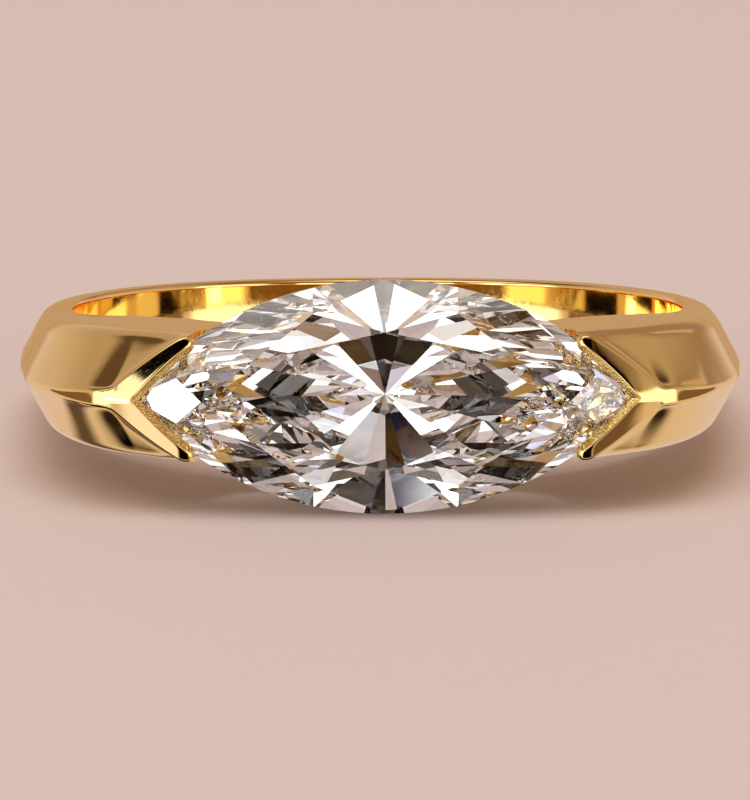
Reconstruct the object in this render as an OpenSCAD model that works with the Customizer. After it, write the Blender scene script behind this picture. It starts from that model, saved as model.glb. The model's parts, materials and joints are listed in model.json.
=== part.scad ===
// Pinky ring: a polished gold band with a ridged back whose shoulders fork into a V round
// each tip of a marquise-cut stone. The ring lies on its side, as it comes to rest by itself.

/* [Finger hole] */
// Inner diameter of the band
hole_d = 15.3; // [14.8:0.1:15.7]

/* [Stone] */
// Length of the stone from tip to tip
stone_l = 12.0; // [11.6:0.1:12.2]
// Width of the stone across its belly
stone_w = 5.55; // [5.3:0.05:5.8]
// Height of the crown above the girdle
crown_h = 0.80; // [0.7:0.05:0.9]
// Thickness of the girdle where it is thickest
girdle_t = 0.16; // [0.14:0.01:0.2]
// Depth of the pavilion below the girdle
pavilion_h = 2.38; // [2.2:0.02:2.42]
// Length of the table as a share of the stone's length
table_len = 0.723; // [0.7:0.01:0.74]
// Width of the table as a share of the stone's width
table_wid = 0.587; // [0.57:0.01:0.6]
// Height of the girdle's middle above the centre of the finger hole
girdle_z = 10.5; // [10.45:0.05:10.6]

/* [Band] */
// Thickness of the band at its ridge, opposite the stone
back_t = 1.25; // [1.15:0.05:1.4]
// Width of the band opposite the stone
back_w = 1.9; // [1.8:0.02:2.0]
// Width of the band beside the finger
side_w = 2.18; // [2.1:0.02:2.3]
// Width across the ends of each V
fork_w = 3.2; // [3.16:0.02:3.24]
// Thickness of the bridge that passes under the stone
bridge_t = 1.1; // [0.9:0.05:1.2]

/* [Fork] */
// Distance from the middle of the ring to the outer point of each V
fork_x = 6.7; // [6.65:0.05:6.8]
// Height of the outer point of each V above the centre of the finger hole
fork_z = 10.78; // [10.74:0.02:10.82]
// Rise of the V's outer edge from its point to its ends
fork_rise = 0.17; // [0.13:0.02:0.21]
// Slope of the V's top face, in degrees
fork_slope = 20; // [18:1:22]
// Distance from the middle of the ring to the ends of the V
fork_end_x = 4.5; // [4.4:0.02:4.6]
// Rounding of the outer corner at each end of the V
fork_end_r = 0.24; // [0.2:0.02:0.26]
// How far the metal laps over the edge of the stone
lap = 0.16; // [0.14:0.01:0.18]
// Gap between the stone and the metal round it
seat_gap = 0.04; // [0.03:0.01:0.05]

/* [Hidden] */

hole_r = hole_d / 2;
back_r = hole_r + back_t;
// Height of the roof over the side walls, opposite the stone
back_roof = 0.6;

// Each long side of the stone is one arc: its radius and how far its centre lies behind the middle
arc_r = (pow(stone_l / 2, 2) + pow(stone_w / 2, 2)) / stone_w;
arc_c = arc_r - stone_w / 2;
// Direction in which the arc faces at the stone's tip, measured from the Y axis
tip_turn = asin(stone_l / 2 / arc_r);
// Directions in which the arc faces where two kites or two girdle facets meet it
diagonal_turn = 25;
belly_turn = diagonal_turn / 2;
wing_turn = (diagonal_turn + tip_turn) / 2;

// Corners of the table on the diagonals, as shares of half the stone's length and width
table_diagonal = [0.517, 0.35];
// How far down the crown the star facets reach
star_reach = 0.35;
// How far down the pavilion the short girdle facets reach
short_reach = 0.53;

crown_z = girdle_t / 2 + crown_h;
culet_z = -girdle_t / 2 - pavilion_h;
// Larger than the ring in every direction
far = 40;
// How far a cut runs past what it cuts
over = 1;

// Outer edge of the V in plan: one arc a side, through the point of the V and its ends
fork_end_y = fork_w / 2;
fork_arc_r = 9.35;
fork_arc_c = sqrt(pow(fork_arc_r, 2) - pow(fork_x, 2));
fork_fall = fork_rise / (fork_x - fork_end_x);
fork_turn = atan2(fork_x, fork_z);

// Rise of the crown for each millimetre in from the edge, near the tips
crown_steep = 1.11;
// Thickness of the metal where it ends over the stone
lip_t = 0.07;
// How far out the bevel would reach, and its rise for each millimetre
bevel_run = 1;
bevel_rate = 0.9;
// How far below the girdle the rounding of the V's ends starts
corner_low = 2;
// Radius of the hollow by which each shoulder runs down, under the stone, into the bridge
window_corner = 2.0;

// Half the width of the narrow flats along the ridge, and its height above their outer edge
ridge_y = 0.06;
ridge_drop = ridge_y * tan(fork_slope);
// The V's top face runs on along the ridge as a tail, from this half width down to the ridge's own
tail_y = 0.2;
tail_turn = 45;
// How much wider the band grows just above the finger, and how much narrower it is at the hole
flare = 0.04;
rim_in = 0.03;
mid_w = (side_w + back_w) / 2;
// The loft is made a little longer inward than the hole, which is bored afterwards
loft_in_r = hole_r - 0.6;
turn_step = 2;

// Columns of band_rows after the angle from the stone: radius of the ridge, radius of the edge
// where the roof meets the side wall, half the width at that edge and at the finger hole
ridge_col = 1;
edge_col = 2;
edge_y_col = 3;
rim_y_col = 4;
//   turn, ridge_r, edge_r, edge_y, rim_y
band_rows = [
    [  0, 12.60, 11.35, 1.54, 1.34],
    [ 22, 12.65, 11.45, 1.54, 1.35],
    [ 27, 12.68, 11.42, 1.53, 1.36],
    [fork_turn, norm([fork_x, fork_z]) + ridge_drop, 11.30, 1.51, 1.36],
    [ 38, 12.33, 11.00, 1.50, 1.38],
    [ 44, 11.74, 10.66, 1.46, 1.36],
    [ 51, 11.06, 10.15, 1.39, 1.32],
    [ 60, 10.12,  9.36, 1.28, 1.23],
    [ 75,  9.22,  8.62, side_w / 2 + flare, side_w / 2 + flare - rim_in],
    [ 90,  8.90,  8.32, side_w / 2, side_w / 2 - rim_in],
    [135,  8.88,  8.29, mid_w / 2, mid_w / 2 - rim_in],
    [180, back_r, back_r - back_roof, back_w / 2, back_w / 2 - rim_in]
];

// Slope of one column of the table at row i, from the rows on both sides of it
function row_slope(rows, i, col) =
    (i == 0 || i == len(rows) - 1) ? 0 :
    (rows[i + 1][col] - rows[i - 1][col]) / (rows[i + 1][0] - rows[i - 1][0]);

// Last row that starts at or before a turn
function row_at(rows, turn, i = 0) =
    (i >= len(rows) - 2 || rows[i + 1][0] > turn) ? i : row_at(rows, turn, i + 1);

// Value of one column at a turn, on a smooth curve through the rows
function band_value(turn, col) =
    let(
        i = row_at(band_rows, turn),
        span = band_rows[i + 1][0] - band_rows[i][0],
        t = (turn - band_rows[i][0]) / span,
        from = band_rows[i][col],
        to = band_rows[i + 1][col],
        leave = row_slope(band_rows, i, col) * span,
        arrive = row_slope(band_rows, i + 1, col) * span
    )
    (2 * t * t * t - 3 * t * t + 1) * from + (t * t * t - 2 * t * t + t) * leave
        + (3 * t * t - 2 * t * t * t) * to + (t * t * t - t * t) * arrive;

// The V's outer edge where the ray at this turn meets it, as radius and half width
function fork_radius(turn) = (fork_z + fork_fall * fork_x) / (cos(turn) + fork_fall * sin(turn));
function fork_half(turn) =
    let(x = min(fork_x, fork_radius(turn) * sin(turn)))
    min(fork_end_y, sqrt(pow(fork_arc_r, 2) - x * x) - fork_arc_c);

// Half the width of the tail at this turn: it narrows smoothly to the ridge
function tail_half(turn) =
    let(t = min(1, max(0, (turn - fork_turn) / (tail_turn - fork_turn))))
    tail_y + (ridge_y - tail_y) * t * t * (3 - 2 * t);

// Half a section as radius and half width, from the ridge outward and down to the finger hole
function half_section(turn) =
    let(
        forked = turn < fork_turn,
        shoulder_y = max(tail_half(turn), forked ? fork_half(turn) : 0),
        shoulder_r = forked ? fork_radius(turn) : band_value(turn, ridge_col) - ridge_drop,
        // The V's face slopes across the band, and its height is measured straight up
        top_r = shoulder_r + shoulder_y * tan(fork_slope) / (forked ? cos(turn) : 1)
    )
    [
        [top_r, 0],
        [shoulder_r, shoulder_y],
        [band_value(turn, edge_col), band_value(turn, edge_y_col)],
        [loft_in_r, band_value(turn, rim_y_col)]
    ];

// A whole section, placed round the hole: the left half backwards, then the right half
function section(turn) =
    let(
        folded = turn > 180 ? 360 - turn : turn,
        half = half_section(folded),
        around = [for (i = [3:-1:0]) [half[i][0], -half[i][1]], for (i = [1:3]) half[i]]
    )
    [for (p = around) [p[0] * sin(turn), p[1], p[0] * cos(turn)]];

// The band before anything is cut from it: one closed loft round the finger hole
module band_loft() {
    turns = [for (turn = [0:turn_step:360 - turn_step]) turn];
    corners = 7;
    count = len(turns);
    points = [for (turn = turns) each section(turn)];
    faces = [
        for (i = [0:count - 1])
        for (j = [0:corners - 1])
        let(
            a = i * corners + j,
            b = i * corners + (j + 1) % corners,
            c = ((i + 1) % count) * corners + (j + 1) % corners,
            d = ((i + 1) % count) * corners + j
        )
        // The diagonals mirror each other on the four quarters of the band
        each (i < count / 2) == (j < corners / 2 - 1) ? [[a, b, d], [b, c, d]] : [[a, b, c], [a, c, d]]
    ];
    polyhedron(points = points, faces = faces, convexity = 6);
}

// Everything beyond the plane that faces along n at distance d from the centre
module beyond(n, d) {
    unit = n / norm(n);
    rotate([0, acos(unit[2]), atan2(unit[1], unit[0])])
        translate([-far / 2, -far / 2, d])
            cube([far, far, far]);
}

// Cuts away what lies outside the plane through three points, once in each quarter of the stone
module facet(a, b, c, grow, along = [1, -1], across = [1, -1]) {
    n = cross(b - a, c - a);
    unit = n / norm(n) * sign(n * a);
    for (sx = along)
        for (sy = across)
            beyond([sx * unit[0], sy * unit[1], unit[2]], unit * a + grow);
}

// A point of the stone's outline where its arc faces in the direction turn, at height z
function rim_point(turn, z) = [arc_r * sin(turn), arc_r * cos(turn) - arc_c, z];
// The direction in which the outline faces there
function rim_facing(turn) = [sin(turn), cos(turn), 0];

// Lens-shaped prism on the stone's outline, moved outward by grow
module outline_prism(low, high, grow = 0) {
    translate([0, 0, low])
        intersection_for (side = [1, -1])
            translate([0, side * -arc_c, 0])
                cylinder(r = arc_r + grow, h = high - low, $fn = 360);
}

// How far along its facing a kite between two points lies, at the height star_reach
function kite_reach(facing, from, to) =
    facing * from + star_reach * (facing * to - facing * from);

// Point at height z that lies at distance d1 along facing f1 and at distance d2 along facing f2
function meeting(f1, d1, f2, d2, z) =
    let(det = f1[0] * f2[1] - f1[1] * f2[0])
    [(d1 * f2[1] - d2 * f1[1]) / det, (f1[0] * d2 - f2[0] * d1) / det, z];

// The marquise brilliant, with each facet moved outward by grow
module cut_stone(grow = 0) {
    top = girdle_t / 2;
    bottom = -girdle_t / 2;
    tip = [1, 0, 0];
    diagonal = rim_facing(diagonal_turn);
    belly = rim_facing(0);

    // Corners of the table
    t_tip = [stone_l / 2 * table_len, 0, crown_z];
    t_diagonal = [stone_l / 2 * table_diagonal[0], stone_w / 2 * table_diagonal[1], crown_z];
    t_belly = [0, stone_w / 2 * table_wid, crown_z];

    // Points on the girdle, above and below
    g_tip = [stone_l / 2, 0, top];
    g_diagonal = rim_point(diagonal_turn, top);
    g_belly = [0, stone_w / 2, top];
    g_wing = rim_point(wing_turn, top);
    g_half = rim_point(belly_turn, top);
    drop = [0, 0, -girdle_t];

    // Where neighbouring kites meet, a share of the crown's height down from the table
    star_z = crown_z - star_reach * crown_h;
    j_tip = meeting(tip, kite_reach(tip, t_tip, g_tip), diagonal,
        kite_reach(diagonal, t_diagonal, g_diagonal), star_z);
    j_belly = meeting(diagonal, kite_reach(diagonal, t_diagonal, g_diagonal), belly,
        kite_reach(belly, t_belly, g_belly), star_z);

    culet = [0, 0, culet_z];
    // On the ridge between the belly facet and the diagonal main, above the culet
    belly_n = cross(g_belly + drop - culet, g_half + drop - culet);
    short_z = bottom - short_reach * pavilion_h;
    main_rate = pavilion_h / (diagonal * g_diagonal);
    belly_rate = -belly_n / belly_n[2];
    ridge_dir = [main_rate * diagonal[1] - belly_rate[1], belly_rate[0] - main_rate * diagonal[0], 0];
    ridge_rate = main_rate * (diagonal * ridge_dir);
    x_short = culet + ridge_dir * (short_z - culet_z) / ridge_rate + [0, 0, short_z - culet_z];

    difference() {
        outline_prism(culet_z - over, crown_z + grow, grow);
        // Crown
        facet(t_tip, g_tip, g_tip + [0, 1, 0], grow, across = [1]);
        facet(t_diagonal, g_diagonal, g_diagonal + [diagonal[1], -diagonal[0], 0], grow);
        facet(t_belly, g_belly, g_belly + [1, 0, 0], grow, along = [1]);
        facet(t_tip, t_diagonal, j_tip, grow);
        facet(t_diagonal, t_belly, j_belly, grow);
        facet(j_tip, g_tip, g_wing, grow);
        facet(j_tip, g_wing, g_diagonal, grow);
        facet(j_belly, g_diagonal, g_half, grow);
        facet(j_belly, g_half, g_belly, grow);
        // Pavilion
        facet(culet, g_belly + drop, g_half + drop, grow);
        facet(x_short, g_half + drop, g_diagonal + drop, grow);
        facet(culet, g_diagonal + drop, x_short, grow);
        facet(culet, g_diagonal + drop, g_wing + drop, grow);
        facet(culet, g_wing + drop, g_tip + drop, grow);
    }
}

// The space between the shoulders, above the bridge, as seen along the finger hole
module window_profile() {
    bridge_r = hole_r + bridge_t;
    middle_x = fork_end_x - window_corner;
    middle = [middle_x, sqrt(pow(bridge_r + window_corner, 2) - middle_x * middle_x)];
    side_x = fork_end_x + over;
    difference() {
        translate([-fork_end_x, 0])
            square([2 * fork_end_x, far / 2]);
        circle(r = bridge_r, $fn = 360);
        for (side = [1, -1])
            scale([side, 1])
                difference() {
                    polygon([middle, [side_x, middle[1]], [side_x, 0], [0, 0]]);
                    translate(middle)
                        circle(r = window_corner, $fn = 180);
                }
    }
}

// What is taken off the outer corner at one end of a V
module fork_corner() {
    translate([fork_end_x + fork_end_r, fork_end_y - fork_end_r, girdle_z - corner_low])
        difference() {
            translate([-2 * fork_end_r, 0, 0])
                cube([2 * fork_end_r, 2 * fork_end_r, far / 2]);
            cylinder(r = fork_end_r, h = far, $fn = 90);
        }
}

// Cone-sided opening whose edge is the bright bevel between the V's top face and the stone
module bevel_cutter() {
    seat_rise = seat_gap * norm([1, crown_steep]);
    edge_z = girdle_t / 2 + lap * crown_steep + seat_rise + lip_t;
    edge_r = arc_r - lap;
    translate([0, 0, edge_z])
        intersection_for (side = [1, -1])
            translate([0, side * -arc_c, 0])
                cylinder(r1 = edge_r, r2 = edge_r + bevel_run, h = bevel_run * bevel_rate, $fn = 360);
}

// Gold band in the ring's own frame: X along the stone, Y along the finger hole, Z to the table
module upright_band() {
    difference() {
        band_loft();
        // Finger hole
        rotate([90, 0, 0])
            cylinder(r = hole_r, h = far, center = true, $fn = 360);
        rotate([90, 0, 0])
            linear_extrude(height = far, center = true)
                window_profile();
        // Seat of the stone, and the opening above it that leaves a lap on its edge
        translate([0, 0, girdle_z]) {
            cut_stone(seat_gap);
            outline_prism(0, far / 2, -lap);
            bevel_cutter();
        }
        for (along = [0, 1])
            for (across = [0, 1])
                mirror([along, 0, 0])
                    mirror([0, across, 0])
                        fork_corner();
    }
}

// The ring tips over until the stone's lower edge and the back of the band both touch
rest_low_y = stone_w / 2;
rest_low_z = girdle_z - girdle_t / 2;
rest_tilt = atan2(rest_low_y - back_w / 2, rest_low_z + back_r - back_roof);
rest_height = rest_low_y * cos(rest_tilt) - rest_low_z * sin(rest_tilt);
// It lies with the middle of its length over the origin
table_front = (girdle_z + crown_z) * cos(rest_tilt) + stone_w / 2 * table_wid * sin(rest_tilt);
rest_shift = (table_front - back_r * cos(rest_tilt)) / 2;

// Lays a piece on its side, with the stone's face toward -Y
module lay_down() {
    translate([0, rest_shift, rest_height])
        rotate([90 - rest_tilt, 0, 0])
            children();
}

module band() {
    color("goldenrod")
        lay_down()
            upright_band();
}

module stone() {
    color("aliceblue")
        lay_down()
            translate([0, 0, girdle_z])
                cut_stone();
}

band();
stone();
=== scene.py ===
"""A polished gold ring with a marquise-cut stone, lying on its side on a pale floor.

The band is one fine loft round the finger hole, with the corners of its sections softly rounded, from
the same sections as the solid it stands for. The stone keeps its own cut facets.
"""

import json
import math

import bmesh
import bpy
from bpy.props import FloatProperty, FloatVectorProperty, PointerProperty
from bpy.types import Operator, Panel, PropertyGroup
from mathutils import Matrix, Vector


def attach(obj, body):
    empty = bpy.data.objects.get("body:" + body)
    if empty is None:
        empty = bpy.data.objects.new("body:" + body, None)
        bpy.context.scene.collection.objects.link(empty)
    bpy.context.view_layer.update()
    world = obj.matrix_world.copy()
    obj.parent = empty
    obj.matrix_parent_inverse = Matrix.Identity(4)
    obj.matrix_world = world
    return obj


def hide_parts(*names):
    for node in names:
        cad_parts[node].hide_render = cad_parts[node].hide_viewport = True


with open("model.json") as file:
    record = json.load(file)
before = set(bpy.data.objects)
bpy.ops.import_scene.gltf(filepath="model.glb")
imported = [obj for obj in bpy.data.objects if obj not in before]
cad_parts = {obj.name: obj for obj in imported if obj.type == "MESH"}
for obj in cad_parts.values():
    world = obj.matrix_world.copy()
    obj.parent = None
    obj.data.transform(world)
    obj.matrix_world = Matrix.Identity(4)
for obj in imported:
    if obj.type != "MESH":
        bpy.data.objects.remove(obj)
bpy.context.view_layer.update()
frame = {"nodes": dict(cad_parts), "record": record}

bl_info = {
    "name": "Marquise pinky ring",
    "version": (1, 0, 0),
    "blender": (4, 5, 0),
    "location": "3D View > Sidebar > Pinky Ring",
    "description": "Builds a gold ring with a V-tipped half bezel round a marquise-cut stone",
    "category": "Object",
}

MM = 0.001
PICTURE = (750, 800)
# Where the finger hole's centre shows, in pixels from the picture's middle, right and up
HOLE_SHOWN = (2.5, 53.0)

finger_bore = next(mount for mount in frame["record"]["mounts"] if mount["name"] == "finger_bore")
HOLE_R = finger_bore["dims"]["r_mm"]
HOLE_CENTRE = Vector(finger_bore["pos_m"])
TILT = math.atan2(finger_bore["axis"][1], finger_bore["axis"][2])
# From the ring's own frame, in millimetres with X along the stone, Y along the finger hole and Z
# to the table, to the place where it lies
LAY_DOWN = (
    Matrix.Translation(HOLE_CENTRE)
    @ Matrix.Rotation(math.pi / 2 - TILT, 4, "X")
    @ Matrix.Scale(MM, 4)
)


def linear(hex_colour):
    """Linear red, green and blue of an sRGB hex colour."""
    parts = [int(hex_colour[i : i + 2], 16) / 255 for i in (1, 3, 5)]
    return tuple(c / 12.92 if c <= 0.04045 else ((c + 0.055) / 1.055) ** 2.4 for c in parts)


def length(name, description, default, low, high):
    """A length in metres, given in millimetres."""
    return FloatProperty(
        name=name,
        description=description,
        default=default * MM,
        min=low * MM,
        max=high * MM,
        subtype="DISTANCE",
        unit="LENGTH",
        precision=5,
    )


def colour(name, description, hex_colour):
    """A linear colour, given as an sRGB hex colour."""
    return FloatVectorProperty(
        name=name,
        description=description,
        default=linear(hex_colour),
        min=0,
        max=1,
        size=3,
        subtype="COLOR",
    )


class PinkyRingBandSettings(PropertyGroup):
    ridge_soft: length("Ridge rounding", "Rounding of the ridge along the roof", 0.14, 0.01, 0.2)
    edge_soft: length("V edge rounding", "Rounding of the V's outer edge", 0.08, 0.01, 0.12)
    crest_soft: length("Crest rounding", "Rounding between the V and the bright cut", 0.03, 0.004, 0.05)
    side_soft: length("Side rounding", "Rounding between the roof and the side walls", 0.36, 0.02, 0.5)
    rim_soft: length("Rim rounding", "Rounding of the rims of the finger hole", 0.12, 0.02, 0.2)
    gold: colour("Gold", "Reflected colour of the polished gold", "#FFDF90")


class PinkyRingStoneSettings(PropertyGroup):
    ior: FloatProperty(name="Refractive index", description="Of diamond", default=2.417, min=1.5, max=2.7)
    body: colour("Body colour", "Colour that the stone lets through", "#FDFEFF")


class PinkyRingStageSettings(PropertyGroup):
    top_light: FloatProperty(
        name="Top light",
        description="Power of the soft light over the floor, in watts",
        default=1.15,
        min=0,
        max=10,
    )
    floor: colour("Floor", "Pale floor", "#F3E0DB")
    camera_distance: length("Camera distance", "From the middle of the finger hole", 160, 100, 400)
    camera_over_table: FloatProperty(
        name="Angle over the table",
        description="Angle between the view and the direction in which the stone's table faces",
        default=math.radians(6.9),
        min=0,
        max=math.radians(60),
        subtype="ANGLE",
        unit="ROTATION",
    )
    camera_turn: FloatProperty(
        name="Turn",
        description="How far the camera stands to the ring's left",
        default=math.radians(1.0),
        min=-math.pi,
        max=math.pi,
        subtype="ANGLE",
        unit="ROTATION",
    )
    focal: FloatProperty(
        name="Focal length",
        description="Of a lens before a 36 mm sensor",
        default=304.7,
        min=20,
        max=600,
        subtype="DISTANCE_CAMERA",
        unit="CAMERA",
    )


class PinkyRingSettings(PropertyGroup):
    band: PointerProperty(
        name="Band",
        description="Roundings and colour of the band",
        type=PinkyRingBandSettings,
    )
    stone: PointerProperty(
        name="Stone",
        description="How the stone bends and tints light",
        type=PinkyRingStoneSettings,
    )
    stage: PointerProperty(
        name="Stage",
        description="Floor, light over it and camera",
        type=PinkyRingStageSettings,
    )


# The band's shape, in millimetres and degrees

# Thickness, drop from the ridge to the side walls, and width, all at the back
BACK_T = 1.25
BACK_R = HOLE_R + BACK_T
BACK_ROOF = 0.6
BACK_W = 1.9
# Width at the sides of the hole, and how much each half grows a little nearer the stone
SIDE_W = 2.18
MID_W = (SIDE_W + BACK_W) / 2
FLARE = 0.04
# How far the side walls lean in on their way from the roof to a radius within the finger hole
RIM_IN = 0.03
INNER_R = HOLE_R - 0.6
# Radius of the bridge's top, under the stone
BRIDGE_R = HOLE_R + 1.1

# The V's outer edge in plan: one arc a side, through the point of the V and its ends
FORK_X = 6.7
FORK_Z = 10.78
FORK_SLOPE = math.tan(math.radians(20))
FORK_END_X = 4.5
FORK_END_Y = 1.6
# Radius of the V's outer edge round each end
FORK_END_R = 0.42
# How far before its end the V's top face starts to roll over, and how far it drops
FORK_END_RUN = 0.46
FORK_END_DROP = 0.2
# How steeply the V's top falls from its ends to its point
FORK_FALL = 0.17 / (FORK_X - FORK_END_X)
FORK_ARC_R = 9.35
FORK_ARC_C = math.sqrt(FORK_ARC_R**2 - FORK_X**2)
FORK_TURN = math.degrees(math.atan2(FORK_X, FORK_Z))
# The V's top face runs on along the ridge as a narrow tail, hardly crowned, which narrows to the
# ridge's own half width
TAIL_Y = 0.2
TAIL_TURN = 45
TAIL_CROWN = 0.02
RIDGE_Y = 0.06
RIDGE_DROP = RIDGE_Y * FORK_SLOPE
# Roundings where the tail bends down from the V's top face and where its sides leave the V's edges
APEX_SOFT = 0.3
JOIN = 0.14
# From the point of the V on, the turn over which the top goes from facing up to facing out
OUTWARD_TURN = 12

# The metal laps the stone's edge, over a gap, with a thin lip. From the lip the bright cut slopes up
# to the V's top face.
LAP = 0.16
LIP_T = 0.07
SEAT_GAP = 0.04
CROWN_STEEP = 1.11
BRIGHT_CUT_RATE = 0.9

# Radius of the hollow by which each shoulder runs down, under the stone, into the bridge
WINDOW_CORNER = 2.0
# Farther than any part of the ring, for the shapes that are cut away
FAR = 30
# Bends over this angle stay sharp to the eye
SHARP_OVER = math.radians(32)

# Round the band by the angle from the stone
RIDGE_R, EDGE_R, EDGE_Y, RIM_Y = 1, 2, 3, 4
BAND_ROWS = (
    # turn, ridge_r, edge_r, edge_y, rim_y
    (0, 12.60, 11.35, 1.54, 1.34),
    (22, 12.65, 11.45, 1.54, 1.35),
    (27, 12.68, 11.42, 1.53, 1.36),
    (FORK_TURN, math.hypot(FORK_X, FORK_Z) + RIDGE_DROP, 11.30, 1.51, 1.36),
    (38, 12.33, 11.00, 1.50, 1.38),
    (44, 11.74, 10.66, 1.46, 1.36),
    (51, 11.06, 10.15, 1.39, 1.32),
    (60, 10.12, 9.36, 1.28, 1.23),
    (75, 9.22, 8.62, SIDE_W / 2 + FLARE, SIDE_W / 2 + FLARE - RIM_IN),
    (90, 8.90, 8.32, SIDE_W / 2, SIDE_W / 2 - RIM_IN),
    (135, 8.88, 8.29, MID_W / 2, MID_W / 2 - RIM_IN),
    (180, BACK_R, BACK_R - BACK_ROOF, BACK_W / 2, BACK_W / 2 - RIM_IN),
)
# How far the roof is hollowed between the V's edge and the side wall
HOLLOW = 1
HOLLOW_ROWS = (
    # turn, hollow
    (0, 0.02),
    (22, 0.02),
    (26, 0.06),
    (FORK_TURN, 0.08),
    (40, 0.03),
    (52, 0.0),
    (180, 0.0),
)


def stone_in_ring_frame():
    """The corners and the faces' planes of the stone, in the ring's own frame."""
    back = LAY_DOWN.inverted()
    mesh = frame["nodes"]["stone"].data
    corners = [back @ vertex.co for vertex in mesh.vertices]
    planes = {}
    for face in mesh.polygons:
        a, b, c = (corners[i] for i in face.vertices[:3])
        normal = (b - a).cross(c - a)
        if normal.length > 1e-9:
            normal.normalize()
            key = tuple(round(part, 3) for part in (*normal, normal.dot(a)))
            planes[key] = (normal, normal.dot(a))
    return corners, list(planes.values())


stone_corners, stone_planes = stone_in_ring_frame()
STONE_X = max(corner.x for corner in stone_corners)
STONE_Y = max(corner.y for corner in stone_corners)
GIRDLE = [corner.z for corner in stone_corners if corner.x > STONE_X - 0.01]
GIRDLE_TOP = max(GIRDLE)
STONE_ARC_R = (STONE_X**2 + STONE_Y**2) / (2 * STONE_Y)
STONE_ARC_C = STONE_ARC_R - STONE_Y
BRIGHT_CUT_Z = GIRDLE_TOP + LAP * CROWN_STEEP + SEAT_GAP * math.hypot(1, CROWN_STEEP) + LIP_T


def row_value(rows, turn, col):
    """Value of one column at a turn, on a smooth curve through the rows."""
    i = max(n for n, row in enumerate(rows[:-1]) if row[0] <= turn)
    span = rows[i + 1][0] - rows[i][0]
    t = (turn - rows[i][0]) / span

    def slope(n):
        if n in (0, len(rows) - 1):
            return 0
        return (rows[n + 1][col] - rows[n - 1][col]) / (rows[n + 1][0] - rows[n - 1][0])

    return (
        (2 * t**3 - 3 * t**2 + 1) * rows[i][col]
        + (t**3 - 2 * t**2 + t) * slope(i) * span
        + (3 * t**2 - 2 * t**3) * rows[i + 1][col]
        + (t**3 - t**2) * slope(i + 1) * span
    )


def smooth_max(a, b, soft):
    """The larger of two values, rounded over where they cross."""
    return (a + b + math.hypot(a - b, soft)) / 2


def smooth_min(a, b, soft):
    """The smaller of two values, rounded over where they cross."""
    return (a + b - math.hypot(a - b, soft)) / 2


def ease(t):
    """Goes from 0 to 1 with level ends."""
    t = min(max(t, 0), 1)
    return t * t * (3 - 2 * t)


def fillet(depth, run, drop):
    """How far an oval edge, run long and drop high, has dropped at a depth in from its end."""
    left = 1 - min(max(depth / run, 0), 1)
    return drop * (1 - math.sqrt(1 - left**2))


def bright_cut_z(x, y):
    """Height of the bright cut's sloping surface over the finger hole's centre."""
    out = math.hypot(x, abs(y) + STONE_ARC_C) - (STONE_ARC_R - LAP)
    return BRIGHT_CUT_Z + BRIGHT_CUT_RATE * out


def fork_turn_at(x):
    """The angle from the stone at which the V's outer edge is x from the middle."""
    return math.degrees(math.atan2(x, FORK_Z + FORK_FALL * (FORK_X - x)))


def corner(before, at, after, soft, steps):
    """Points round a corner, from its rounding's start to its end."""
    start = at + (before - at).normalized() * soft
    end = at + (after - at).normalized() * soft
    points = []
    for n in range(steps + 1):
        t = n / steps
        points.append(start * (1 - t) ** 2 + at * 2 * t * (1 - t) + end * t**2)
    return points


class TopFace:
    """The top of the band at one angle from the stone: the V's face, its tail or the ridge.

    Its outer edge is at y = half, as high as the shoulder, which is a point in the middle plane, and
    the face rises from there to the middle. Near the V's ends the edge is rounded in to y = edge.
    """

    def __init__(self, turn, band):
        angle = math.radians(turn)
        self.out = Vector((math.sin(angle), 0, math.cos(angle)))
        self.forked = turn < FORK_TURN
        reach = row_value(BAND_ROWS, turn, RIDGE_R) - RIDGE_DROP
        # Farther round, the V's falling plane is out of reach
        if turn < 2 * FORK_TURN:
            level = (FORK_Z + FORK_FALL * FORK_X) / (self.out.z + FORK_FALL * self.out.x)
            reach = smooth_min(level, reach, APEX_SOFT)
        self.shoulder = self.out * reach
        tail = TAIL_Y + (RIDGE_Y - TAIL_Y) * ease((turn - FORK_TURN) / (TAIL_TURN - FORK_TURN))
        # How far out from the middle the V's outer edge is here, below 0 past the point of the V
        arc = -1
        if turn < TAIL_TURN:
            arc = min(math.sqrt(FORK_ARC_R**2 - self.shoulder.x**2) - FORK_ARC_C, FORK_END_Y)
        self.half = smooth_max(arc, tail, JOIN)
        self.slope = FORK_SLOPE * smooth_max(arc, TAIL_CROWN, JOIN) / self.half
        self.depth = self.shoulder.x - FORK_END_X if turn < FORK_TURN else FORK_END_R
        self.edge = self.half - fillet(self.depth, FORK_END_R, FORK_END_R)
        outward = ease((turn - FORK_TURN) / OUTWARD_TURN)
        self.up = Vector((0, 0, 1)).lerp(self.out, outward).normalized()
        self.soft = min(band.ridge_soft / MM, self.half / 2)
        self.crest_soft = band.crest_soft / MM

    def face(self, y):
        """The V's face, or the tail's or the ridge's, before the bright cut and the end's rounding."""
        return self.shoulder + self.up * (self.half - math.hypot(y, self.soft)) * self.slope

    def point(self, y):
        """The finished surface at y across the band."""
        at = self.face(y)
        if self.forked:
            at.z = smooth_min(at.z, bright_cut_z(at.x, y), self.crest_soft)
            at.z -= fillet(self.depth, FORK_END_RUN, FORK_END_DROP)
        at.y = y
        return at

    def crest(self):
        """Half the width at which the bright cut meets the V's face, or 0 past the V's inner point."""

        def over(y):
            at = self.face(y)
            return at.z - bright_cut_z(at.x, y)

        if not self.forked or over(0) <= 0:
            return 0
        low, high = 0, self.half
        for _ in range(40):
            middle = (low + high) / 2
            if over(middle) > 0:
                low = middle
            else:
                high = middle
        return low


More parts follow.
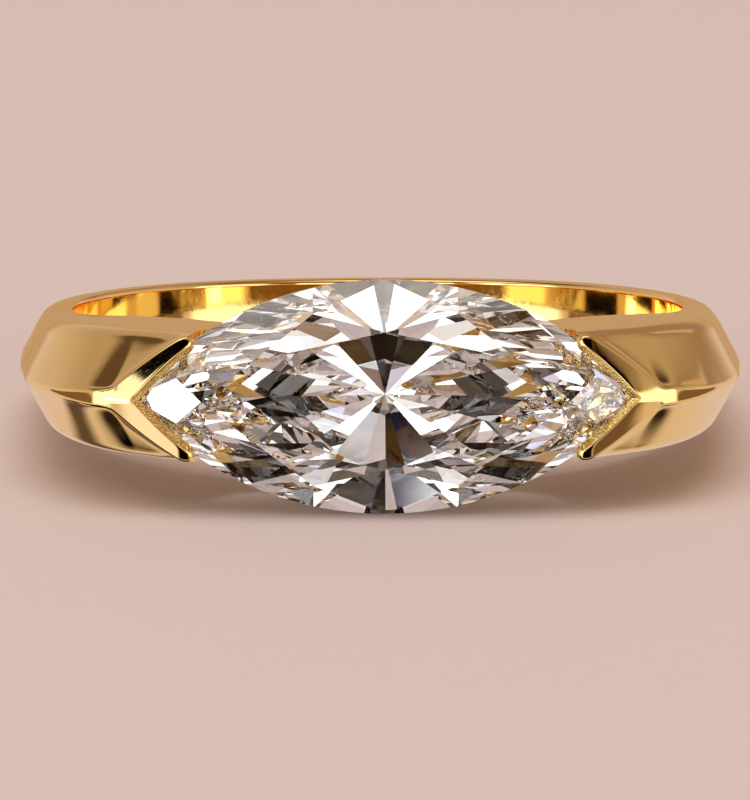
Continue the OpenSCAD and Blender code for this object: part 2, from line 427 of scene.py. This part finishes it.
def across_top(top, edge_soft, crest_soft):
    """Points from the middle of the top to its edge's rounding, closest round the bright cut's crest."""
    crest = top.crest()
    near = 3 * crest_soft
    end = top.edge - edge_soft
    start = min(crest + near, end * 0.9)
    ys = [crest * share for share in (0, 0.25, 0.5, 0.7, 0.85)]
    ys += [min(max(crest + near * share, 0), start) for share in (-1, -0.5, -0.2, 0, 0.2, 0.5)]
    ys += [start + (end - start) * share for share in (0, 0.08, 0.3, 0.6, 0.85, 0.97)]
    return [top.point(y) for y in ys]


def half_section(turn, band):
    """Half a section: from the middle of the top outward, down and in to the finger hole."""
    top = TopFace(turn, band)
    edge_r = row_value(BAND_ROWS, turn, EDGE_R)
    edge_y = row_value(BAND_ROWS, turn, EDGE_Y)
    inner_y = row_value(BAND_ROWS, turn, RIM_Y)
    rim_y = inner_y + (edge_y - inner_y) * (HOLE_R - INNER_R) / (edge_r - INNER_R)
    hollow = row_value(HOLLOW_ROWS, turn, HOLLOW)

    shoulder = top.point(top.edge)
    side = top.out * edge_r + Vector((0, edge_y, 0))
    rim = top.out * HOLE_R + Vector((0, rim_y, 0))
    middle = top.out * HOLE_R
    chord = side - shoulder
    outward = (Vector((0, 1, 0)) - chord * chord.y / chord.length_squared).normalized()
    if outward.dot(top.out) < 0 and not top.forked:
        outward.negate()

    def roof(t):
        """Point of the hollowed roof, which is deepest nearer its shoulder."""
        u = t**0.6
        return shoulder + chord * t - outward * hollow * 4 * u * (1 - u)

    wall = (rim - side).length
    down_wall = (rim - side) / wall
    reach = chord.length
    edge_soft = min(band.edge_soft / MM, top.edge * 0.8)
    side_soft = min(band.side_soft / MM, reach * 0.45, wall * 0.45)
    rim_soft = band.rim_soft / MM

    points = across_top(top, edge_soft, band.crest_soft / MM)
    first = edge_soft / reach
    last = 1 - side_soft / reach
    points += corner(points[-1], shoulder, roof(first), edge_soft, 5)
    points += [roof(first + (last - first) * share) for share in (0.04, 0.12, 0.25, 0.4, 0.6, 0.8, 0.95)]
    points += corner(roof(last), side, rim, side_soft, 10)
    wall_start = side + down_wall * side_soft
    wall_end = rim - down_wall * rim_soft
    points += [wall_start.lerp(wall_end, share) for share in (0.1, 0.35, 0.65, 0.9)]
    points += corner(side, rim, middle, rim_soft, 8)
    points += [rim.lerp(middle, share) for share in (0.14, 0.3, 0.65, 1)]
    return points


def station_turns():
    """The angles of the sections on one half of the band, closest where the V begins and ends."""
    # Every degree is enough over the window, which is cut away
    turns = list(range(0, 21)) + [fork_turn_at(x) for x in (4.3, 4.44)]
    # Closest at the V's end, where its top rolls over
    steps = 16
    for n in range(steps + 1):
        depth = FORK_END_RUN * (1 - math.cos(math.pi / 2 * n / steps))
        turns.append(fork_turn_at(FORK_END_X + depth))
    # Along the V, closer before its point
    x = FORK_END_X + FORK_END_RUN
    while x < FORK_X - 0.03:
        x += 0.05 if x < FORK_X - 0.5 else 0.02
        turns.append(fork_turn_at(x))
    turns.append(FORK_TURN)
    # From its point along the tail, and on to the back
    turn = FORK_TURN
    while turn < 179:
        turn += 0.1 if turn < FORK_TURN + 2 else 0.4 if turn < TAIL_TURN else 1
        turns.append(min(turn, 180))
    if turns[-1] < 180:
        turns.append(180)
    return turns


def band_mesh(band):
    """The band before anything is cut from it: one closed loft."""
    halves = [half_section(turn, band) for turn in station_turns()]
    flip_y = Vector((1, -1, 1))
    sections = [half + [point * flip_y for point in half[-2:0:-1]] for half in halves]
    flip_x = Vector((-1, 1, 1))
    sections += [[point * flip_x for point in section] for section in sections[-2:0:-1]]
    count, around = len(sections), len(sections[0])

    shape = bmesh.new()
    rings = [[shape.verts.new(point) for point in section] for section in sections]
    for i in range(count):
        ring, following = rings[i], rings[(i + 1) % count]
        for j in range(around):
            k = (j + 1) % around
            shape.faces.new((ring[j], ring[k], following[k], following[j]))
    bmesh.ops.remove_doubles(shape, verts=shape.verts, dist=1e-5)
    bmesh.ops.dissolve_degenerate(shape, dist=1e-6, edges=shape.edges)
    bmesh.ops.recalc_face_normals(shape, faces=shape.faces)
    return shape


def outline(points, low, high, along):
    """A closed prism on an outline, from low to high along Y or Z."""
    shape = bmesh.new()
    ends = []
    for level in (low, high):
        if along == "Y":
            ends.append([shape.verts.new((a, level, b)) for a, b in points])
        else:
            ends.append([shape.verts.new((a, b, level)) for a, b in points])
    shape.faces.new(ends[0])
    shape.faces.new(ends[1])
    for i in range(len(points)):
        k = (i + 1) % len(points)
        shape.faces.new((ends[0][i], ends[0][k], ends[1][k], ends[1][i]))
    bmesh.ops.recalc_face_normals(shape, faces=shape.faces)
    return shape


def window():
    """The space between the shoulders, above the bridge."""
    middle_x = FORK_END_X - WINDOW_CORNER
    middle_z = math.sqrt((BRIDGE_R + WINDOW_CORNER) ** 2 - middle_x**2)
    lean = math.atan2(middle_x, middle_z)
    right = [(FORK_END_X, FAR)]
    steps = 40
    for n in range(steps + 1):
        angle = -n / steps * (math.pi / 2 + lean)
        x = middle_x + WINDOW_CORNER * math.cos(angle)
        z = middle_z + WINDOW_CORNER * math.sin(angle)
        right.append((x, z))
    steps = 80
    bridge = []
    for n in range(1, steps):
        angle = lean - 2 * lean * n / steps
        bridge.append((BRIDGE_R * math.sin(angle), BRIDGE_R * math.cos(angle)))
    left = [(-x, z) for x, z in reversed(right)]
    return outline(right + bridge + left, -FAR / 4, FAR / 4, "Y")


def stone_opening():
    """The opening over the stone, inside the metal that laps its edge."""
    radius = STONE_ARC_R - LAP
    spread = math.acos(STONE_ARC_C / radius)
    steps = 64
    points = []
    for side in (1, -1):
        for n in range(steps):
            angle = spread - 2 * spread * n / steps
            x = side * radius * math.sin(angle)
            y = side * (radius * math.cos(angle) - STONE_ARC_C)
            points.append((x, y))
    return outline(points, GIRDLE_TOP, FAR / 2, "Z")


def stone_seat():
    """The stone's own shape with every face moved outward by the gap round it."""
    shape = bmesh.new()
    bmesh.ops.create_cube(shape, size=2 * FAR)
    for normal, distance in stone_planes:
        cut = bmesh.ops.bisect_plane(
            shape,
            geom=shape.verts[:] + shape.edges[:] + shape.faces[:],
            plane_co=normal * (distance + SEAT_GAP),
            plane_no=normal,
            clear_outer=True,
        )
        edges = [part for part in cut["geom_cut"] if isinstance(part, bmesh.types.BMEdge)]
        if edges:
            bmesh.ops.edgeloop_fill(shape, edges=edges)
    bmesh.ops.remove_doubles(shape, verts=shape.verts, dist=1e-4)
    bmesh.ops.recalc_face_normals(shape, faces=shape.faces)
    return shape


def add_object(name, shape):
    """A new object from a bmesh, which is then freed."""
    mesh = bpy.data.meshes.new(name)
    shape.to_mesh(mesh)
    shape.free()
    piece = bpy.data.objects.new(name, mesh)
    bpy.context.scene.collection.objects.link(piece)
    return piece


def applied(piece):
    """Gives a piece the mesh that its modifiers make, and removes them."""
    graph = bpy.context.evaluated_depsgraph_get()
    mesh = bpy.data.meshes.new_from_object(piece.evaluated_get(graph), depsgraph=graph)
    piece.modifiers.clear()
    old, piece.data = piece.data, mesh
    bpy.data.meshes.remove(old)


def cut_away(piece, shape):
    """Takes a closed shape's space out of a piece."""
    cutter = add_object("cutter", shape)
    cut = piece.modifiers.new("cut", "BOOLEAN")
    cut.operation = "DIFFERENCE"
    cut.solver = "MANIFOLD"
    cut.object = cutter
    applied(piece)
    bpy.data.objects.remove(cutter)


def shade_by_edges(piece, sharp_over):
    """Smooth shading that stops at sharp edges, with the large faces leading."""
    piece.data.shade_smooth()
    piece.data.set_sharp_from_angle(angle=sharp_over)
    weighted = piece.modifiers.new("weighted", "WEIGHTED_NORMAL")
    weighted.mode = "FACE_AREA"
    weighted.keep_sharp = True
    applied(piece)


def on_bright_cut(centre):
    """Whether a point of the band lies on the cut slope between the V's face and the stone."""
    tolerance = 0.01
    over_stone = centre.z > GIRDLE_TOP and abs(centre.x) > FORK_END_X
    return over_stone and abs(centre.z - bright_cut_z(centre.x, centre.y)) < tolerance


# Materials


def add_node(tree, kind, inputs=(), **settings):
    """Adds a node, with its settings, and its inputs as values or as links from other nodes."""
    node = tree.nodes.new(kind)
    for name, value in settings.items():
        setattr(node, name, value)
    for name, value in dict(inputs).items():
        if isinstance(value, bpy.types.NodeSocket):
            tree.links.new(value, node.inputs[name])
        else:
            node.inputs[name].default_value = value
    return node


def per_size(millimetres):
    """The scale at which a texture repeats once in this many millimetres."""
    return 1 / (millimetres * MM)


def new_material(name):
    """An empty material, with its tree and its coordinates on the object."""
    material = bpy.data.materials.new(name)
    material.use_nodes = True
    tree = material.node_tree
    tree.nodes.clear()
    place = add_node(tree, "ShaderNodeTexCoord").outputs["Object"]
    return material, tree, place


def polished_gold(tint):
    """14 karat yellow gold, buffed on a wheel: a clear warm mirror, with the faint swell and
    hairlines that the wheel leaves."""
    material, tree, place = new_material("polished_yellow_gold")
    # Swell of a hand-polished face, and the wheel's hairlines, drawn broader than they are
    swell = add_node(tree, "ShaderNodeTexNoise", {
        "Vector": place, "Scale": per_size(1.6), "Detail": 1.0, "Roughness": 0.4,
    })
    stretched = add_node(tree, "ShaderNodeMapping", {
        "Vector": place, "Rotation": (0.3, 0.5, 0.2), "Scale": (1, 9, 3),
    })
    hairlines = add_node(tree, "ShaderNodeTexNoise", {
        "Vector": stretched.outputs[0], "Scale": per_size(0.35), "Detail": 3.0,
    })
    rough = add_node(tree, "ShaderNodeMapRange", {
        "Value": hairlines.outputs["Fac"], "From Min": 0.35, "From Max": 0.75, "To Min": 0.035,
        "To Max": 0.085,
    })
    heights = add_node(tree, "ShaderNodeMath", {
        0: hairlines.outputs["Fac"], 1: 0.03, 2: swell.outputs["Fac"],
    }, operation="MULTIPLY_ADD")
    bump = add_node(tree, "ShaderNodeBump", {
        "Strength": 0.35, "Distance": 0.02 * MM, "Height": heights.outputs[0],
    })
    metal = add_node(tree, "ShaderNodeBsdfPrincipled", {
        "Base Color": (*tint, 1), "Metallic": 1.0, "Roughness": rough.outputs[0],
        "Normal": bump.outputs[0],
    })
    add_node(tree, "ShaderNodeOutputMaterial", {"Surface": metal.outputs[0]})
    return material


def bright_cut_gold(tint):
    """The same gold cut with a polished graver along the stone: a glittering rough-edged slope of
    short strokes."""
    material, tree, place = new_material("bright_cut_yellow_gold")
    # The graver's strokes, and the grain within them
    stretched = add_node(tree, "ShaderNodeMapping", {
        "Vector": place, "Rotation": (0, 0.6, 0), "Scale": (1, 1, 2.2),
    })
    strokes = add_node(tree, "ShaderNodeTexVoronoi", {
        "Vector": stretched.outputs[0], "Scale": per_size(0.1), "Randomness": 1.0,
    }, feature="F1")
    grain = add_node(tree, "ShaderNodeTexNoise", {
        "Vector": place, "Scale": per_size(0.06), "Detail": 2.0,
    })
    heights = add_node(tree, "ShaderNodeMath", {
        0: grain.outputs["Fac"], 1: 0.35, 2: strokes.outputs["Distance"],
    }, operation="MULTIPLY_ADD")
    bump = add_node(tree, "ShaderNodeBump", {
        "Strength": 0.6, "Distance": 0.02 * MM, "Height": heights.outputs[0],
    })
    metal = add_node(tree, "ShaderNodeBsdfPrincipled", {
        "Base Color": (*tint, 1), "Metallic": 1.0, "Roughness": 0.12, "Normal": bump.outputs[0],
    })
    add_node(tree, "ShaderNodeOutputMaterial", {"Surface": metal.outputs[0]})
    return material


def cut_diamond(ior, body):
    """Colourless diamond, ground and polished flat: it bends light strongly and hardly tints it,
    and the lap leaves the faintest polishing lines."""
    material, tree, place = new_material("polished_diamond")
    # The lap's lines, drawn broader than they are
    lines = add_node(tree, "ShaderNodeTexWave", {
        "Vector": place, "Scale": per_size(0.5), "Distortion": 2.0, "Detail": 2.0,
    }, wave_type="BANDS")
    rough = add_node(tree, "ShaderNodeMapRange", {
        "Value": lines.outputs["Fac"], "To Min": 0.0, "To Max": 0.004,
    })
    stone = add_node(tree, "ShaderNodeBsdfPrincipled", {
        "Base Color": (*body, 1), "Roughness": rough.outputs[0], "IOR": ior,
        "Transmission Weight": 1.0,
    })
    add_node(tree, "ShaderNodeOutputMaterial", {"Surface": stone.outputs[0]})
    return material


def pale_floor(tint):
    """Smooth painted board: matt and even, with a fine tooth."""
    material, tree, place = new_material("painted_board")
    tooth = add_node(tree, "ShaderNodeTexNoise", {
        "Vector": place, "Scale": per_size(0.5), "Detail": 3.0,
    })
    shade = add_node(tree, "ShaderNodeMix", {
        0: tooth.outputs["Fac"], 6: (*[c * 0.97 for c in tint], 1), 7: (*tint, 1),
    }, data_type="RGBA")
    bump = add_node(tree, "ShaderNodeBump", {
        "Strength": 0.15, "Distance": 0.05 * MM, "Height": tooth.outputs["Fac"],
    })
    board = add_node(tree, "ShaderNodeBsdfPrincipled", {
        "Base Color": shade.outputs[2], "Roughness": 0.7, "Normal": bump.outputs[0],
    })
    add_node(tree, "ShaderNodeOutputMaterial", {"Surface": board.outputs[0]})
    return material


# Stage


def direction(turn, rise):
    """Unit vector toward a turn from the ring's front to its right and a rise over the floor, both
    in degrees."""
    turn, rise = math.radians(turn), math.radians(rise)
    return Vector((
        math.sin(turn) * math.cos(rise),
        -math.cos(turn) * math.cos(rise),
        math.sin(rise),
    ))


def soft_step(tree, value, edge, soft):
    """A node output that goes from 1 to 0 as the value passes the edge."""
    step = add_node(tree, "ShaderNodeMapRange", {
        "Value": value, "From Min": edge - soft, "From Max": edge + soft, "To Min": 1.0, "To Max": 0.0,
    }, interpolation_type="SMOOTHSTEP")
    return step.outputs[0]


def room_panel(tree, toward, behind, turn, rise, width, height, soft, brightness, hex_colour):
    """Lays a soft-edged panel of light, or a dark one, over what is behind it in the room."""
    ahead = direction(turn, rise)
    across = Vector((math.cos(math.radians(turn)), math.sin(math.radians(turn)), 0))
    up = across.cross(ahead) * -1
    parts = []
    for axis in (ahead, across, up):
        dot = add_node(tree, "ShaderNodeVectorMath", {0: toward, 1: axis}, operation="DOT_PRODUCT")
        parts.append(dot.outputs["Value"])
    mask = add_node(tree, "ShaderNodeMath", {0: parts[0], 1: 0.0}, operation="GREATER_THAN").outputs[0]
    for part, half in zip(parts[1:], (width / 2, height / 2)):
        angle = add_node(tree, "ShaderNodeMath", {0: part, 1: parts[0]}, operation="ARCTAN2")
        size = add_node(tree, "ShaderNodeMath", {0: angle.outputs[0]}, operation="ABSOLUTE")
        step = soft_step(tree, size.outputs[0], math.radians(half), math.radians(soft))
        mask = add_node(tree, "ShaderNodeMath", {0: mask, 1: step}, operation="MULTIPLY").outputs[0]
    light = tuple(brightness * part for part in linear(hex_colour))
    laid = add_node(tree, "ShaderNodeMix", {0: mask, 6: behind, 7: (*light, 1)}, data_type="RGBA")
    return laid.outputs[2]


# The studio all round, as the metal and the stone see it. Angles in degrees: turn to the ring's
# right and rise over the floor, then each panel's width, height and soft edge. Later panels lie over
# earlier ones.
ROOM = (
    # turn, rise, width, height, soft, brightness, colour
    # Overhead lights, and shade beneath
    (180, 72, 70, 30, 6, 0.12, "#C9A48E"),
    (0, 78, 60, 26, 5, 1.6, "#FFF8F0"),
    (-62, 56, 46, 24, 6, 1.2, "#FFF6EC"),
    (62, 56, 40, 24, 5, 0.6, "#C98F3C"),
    (0, -90, 68, 68, 8, 0.12, "#8A6A55"),
    # Lights and shades that the V faces mirror, with the dark flag over the front
    (-42, -34, 18, 26, 3, 1.4, "#E0DEF8"),
    (42, -34, 16, 26, 3, 0.3, "#C49C86"),
    (46, 26, 12, 16, 2, 0.45, "#D9B8A4"),
    (-6, 36, 92, 18, 1.5, 0.02, "#4A3A30"),
    (-47, 24, 16, 11.5, 0.4, 1.8, "#E0E0F8"),
    # Shades at the back that the roofs mirror, and a lighter strip on the right
    (-120, 50, 40, 20, 5, 0.2, "#C9A48E"),
    (158, 24, 44, 36, 7, 0.5, "#D8B4A0"),
    (146, 25, 7, 18, 2, 0.85, "#D8B8A8"),
    (-150, -36, 60, 9, 3, 0.2, "#C9A48E"),
    (-92, -46, 44, 30, 4, 0.03, "#4A3A30"),
    (180, -2, 40, 24, 6, 0.8, "#D8AE80"),
    (-108, -8.5, 56, 9, 1.5, 0.35, "#C9A07C"),
    (108, -8.5, 56, 9, 1.5, 0.35, "#C9A07C"),
    # Soft boxes at both sides and nearer the front, and a bright one that the left tip mirrors
    (-59.5, 0, 31, 42, 3, 1.9, "#FAFCFF"),
    (59.5, 0, 31, 42, 3, 1.7, "#FFFCF8"),
    (-24, 11, 15, 17, 1.5, 1.8, "#FBFCFF"),
    (24, 11, 15, 17, 1.5, 1.8, "#FFFDFA"),
    (-49, -4, 12, 10, 1.2, 6.0, "#FFFFFF"),
    # Flags at the front that the stone's dark facets show: dark, two of them blue, and a light card
    (0, -12, 26, 19, 1.5, 0.02, "#4A3A30"),
    (-13.5, 0, 35, 6, 1, 0.03, "#4A3A30"),
    (0, -34, 44, 26, 3, 0.05, "#4A3A30"),
    (19, -0.6, 24, 5, 0.4, 1.0, "#EEEAEC"),
    (9, 3.1, 4, 2.4, 0.4, 1.0, "#1C2448"),
    (-27, 3.1, 5, 2.4, 0.4, 1.0, "#1C2448"),
    (27, 3.1, 5, 2.4, 0.4, 0.03, "#4A3A30"),
    # Grey and amber cards that shade and warm parts of the stone
    (35, 12, 7, 16, 1, 0.8, "#D09A4C"),
    (-35, 12, 7, 16, 1, 0.8, "#D09A4C"),
    (33, 33, 8, 12, 1, 0.15, "#B98232"),
    (23, -15, 10, 9, 1.5, 0.6, "#C08A3C"),
    (-23, -15, 10, 9, 1.5, 0.6, "#C08A3C"),
    (0, 23.5, 22, 7, 1.5, 0.2, "#C8C4C4"),
)
# Walls behind the panels: they darken from the floor up to where the sine of the rise is the height
WALLS_LOW = "#DEC8C2"
WALLS_HIGH = "#B8A39A"
WALLS_HEIGHT = 0.5
# How many times light may bounce, since it goes to and fro between the stone's facets
BOUNCES = 32
# Half the floor's width, and the light over it, in metres
FLOOR_HALF = 1.5
TOP_LIGHT_SIZE = 0.5
TOP_LIGHT_AT = (0, -0.1, 0.6)


class PINKYRING_OT_band(Operator):
    """Builds the gold band with its two V settings and the bridge under the stone"""

    bl_idname = "pinky_ring.band"
    bl_label = "Make Band"

    def execute(self, context):
        settings = context.scene.pinky_ring.band
        band = add_object("gold_band", band_mesh(settings))
        cut_away(band, window())
        cut_away(band, stone_seat())
        cut_away(band, stone_opening())
        shade_by_edges(band, SHARP_OVER)
        tint = tuple(settings.gold)
        band.data.materials.clear()
        band.data.materials.append(polished_gold(tint))
        band.data.materials.append(bright_cut_gold(tint))
        for face in band.data.polygons:
            face.material_index = 1 if on_bright_cut(face.center) else 0
        band.data.transform(LAY_DOWN)
        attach(band, "root")
        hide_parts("band")
        return {"FINISHED"}


class PINKYRING_OT_stone(Operator):
    """Gives the marquise-cut stone its finish"""

    bl_idname = "pinky_ring.stone"
    bl_label = "Finish Stone"

    def execute(self, context):
        settings = context.scene.pinky_ring.stone
        stone = frame["nodes"]["stone"]
        diamond = cut_diamond(settings.ior, tuple(settings.body))
        for slot in stone.material_slots:
            slot.material = diamond
        return {"FINISHED"}


class PINKYRING_OT_stage(Operator):
    """Adds the floor, the lights all round and the camera"""

    bl_idname = "pinky_ring.stage"
    bl_label = "Set Stage"

    def execute(self, context):
        settings = context.scene.pinky_ring.stage
        scene = context.scene
        scene.view_settings.view_transform = "Standard"
        scene.cycles.max_bounces = BOUNCES
        scene.cycles.glossy_bounces = BOUNCES
        scene.cycles.transmission_bounces = BOUNCES
        add_floor(settings)
        add_room(scene)
        add_top_light(scene, settings)
        add_camera(scene, settings)
        return {"FINISHED"}


def add_floor(settings):
    """A pale floor that metal and stone don't mirror, so they look as they do when held up."""
    shape = bmesh.new()
    bmesh.ops.create_grid(shape, x_segments=8, y_segments=8, size=FLOOR_HALF)
    floor = add_object("floor", shape)
    floor.data.materials.append(pale_floor(tuple(settings.floor)))
    floor.visible_transmission = False
    floor.visible_glossy = False


def add_room(scene):
    """The walls and the panels all round, which light the ring and show in it."""
    world = bpy.data.worlds.new("soft_room")
    scene.world = world
    world.use_nodes = True
    tree = world.node_tree
    tree.nodes.clear()
    toward = add_node(tree, "ShaderNodeTexCoord").outputs["Generated"]
    height = add_node(tree, "ShaderNodeSeparateXYZ", {0: toward}).outputs["Z"]
    walls = add_node(tree, "ShaderNodeMapRange", {
        "Value": height, "From Min": 0.0, "From Max": WALLS_HEIGHT,
    })
    shade = add_node(tree, "ShaderNodeMix", {
        0: walls.outputs[0], 6: (*linear(WALLS_LOW), 1), 7: (*linear(WALLS_HIGH), 1),
    }, data_type="RGBA").outputs[2]
    for row in ROOM:
        shade = room_panel(tree, toward, shade, *row)
    glow = add_node(tree, "ShaderNodeBackground", {"Color": shade, "Strength": 1.0})
    add_node(tree, "ShaderNodeOutputWorld", {"Surface": glow.outputs[0]})


def add_top_light(scene, settings):
    """A broad soft light that brightens the floor and lays the ring's shadow on it."""
    lamp = bpy.data.lights.new("top_light", "AREA")
    lamp.size = TOP_LIGHT_SIZE
    lamp.energy = settings.top_light
    light = bpy.data.objects.new("top_light", lamp)
    light.location = TOP_LIGHT_AT
    light.visible_glossy = False
    light.visible_transmission = False
    scene.collection.objects.link(light)


def add_camera(scene, settings):
    """A camera at the photograph's angle to the ring, on the side that is above the floor."""
    lens = bpy.data.cameras.new("camera")
    lens.sensor_fit = "HORIZONTAL"
    lens.sensor_width = 36
    lens.lens = settings.focal
    lens.clip_start = 0.01
    lens.clip_end = 10
    rise = math.degrees(TILT + settings.camera_over_table)
    away = direction(-math.degrees(settings.camera_turn), rise)
    camera = bpy.data.objects.new("camera", lens)
    camera.rotation_euler = (-away).to_track_quat("-Z", "Y").to_euler()
    pixel = settings.camera_distance / (settings.focal / lens.sensor_width * PICTURE[0])
    turned = camera.rotation_euler.to_matrix()
    aim = HOLE_CENTRE - turned @ (Vector((*HOLE_SHOWN, 0)) * pixel)
    camera.location = aim + away * settings.camera_distance
    scene.collection.objects.link(camera)
    scene.camera = camera


class PINKYRING_PT_panel(Panel):
    bl_label = "Pinky Ring"
    bl_idname = "PINKYRING_PT_panel"
    bl_space_type = "VIEW_3D"
    bl_region_type = "UI"
    bl_category = "Pinky Ring"

    def draw(self, context):
        settings = context.scene.pinky_ring
        for part in ("band", "stone", "stage"):
            box = self.layout.box()
            group = getattr(settings, part)
            for name in group.bl_rna.properties.keys():
                if name not in ("rna_type", "name"):
                    box.prop(group, name)
            box.operator("pinky_ring." + part)


CLASSES = (
    PinkyRingBandSettings,
    PinkyRingStoneSettings,
    PinkyRingStageSettings,
    PinkyRingSettings,
    PINKYRING_OT_band,
    PINKYRING_OT_stone,
    PINKYRING_OT_stage,
    PINKYRING_PT_panel,
)


def register():
    for cls in CLASSES:
        bpy.utils.register_class(cls)
    bpy.types.Scene.pinky_ring = PointerProperty(
        name="Pinky ring",
        description="Settings of the ring and its stage",
        type=PinkyRingSettings,
    )


def unregister():
    del bpy.types.Scene.pinky_ring
    for cls in reversed(CLASSES):
        bpy.utils.unregister_class(cls)


def main():
    register()
    bpy.ops.pinky_ring.stage()
    bpy.ops.pinky_ring.band()
    bpy.ops.pinky_ring.stone()


if __name__ == "__main__":
    main()
